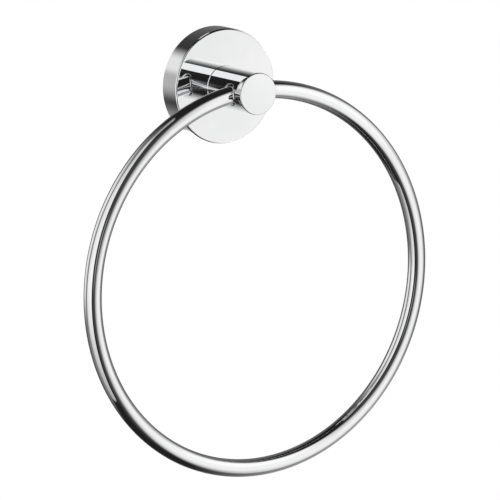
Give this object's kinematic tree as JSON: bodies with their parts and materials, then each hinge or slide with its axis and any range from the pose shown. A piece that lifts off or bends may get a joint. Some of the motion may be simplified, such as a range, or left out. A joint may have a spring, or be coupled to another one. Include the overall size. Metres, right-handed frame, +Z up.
{
  "type": "towel ring",
  "caption": "Wall-mounted towel ring: a round hoop of chromed bar held crosswise in a short post on a round rose, with a hidden wall bracket.",
  "frame": {"origin": "on the wall plane, where the post's axis meets it: the centre of the bracket's back face", "axes": "+Y into the wall, so the object stands out towards -Y; +Z up; +X to the right seen from the front"},
  "size_m": [0.18, 0.039, 0.202],
  "materials": {
    "bright_chrome": "polished chrome plate on brass",
    "bracket_metal": "bare matt cast metal",
    "screw_steel": "bare steel"
  },
  "bodies": {
    "root": {"ring": "bright_chrome", "post": "bright_chrome", "rose": "bright_chrome", "wall_bracket": "bracket_metal", "post_screw": "screw_steel", "post_washer": "screw_steel", "ring_lock_screw": "screw_steel", "rose_set_screw": "screw_steel"}
  },
  "joints": []
}
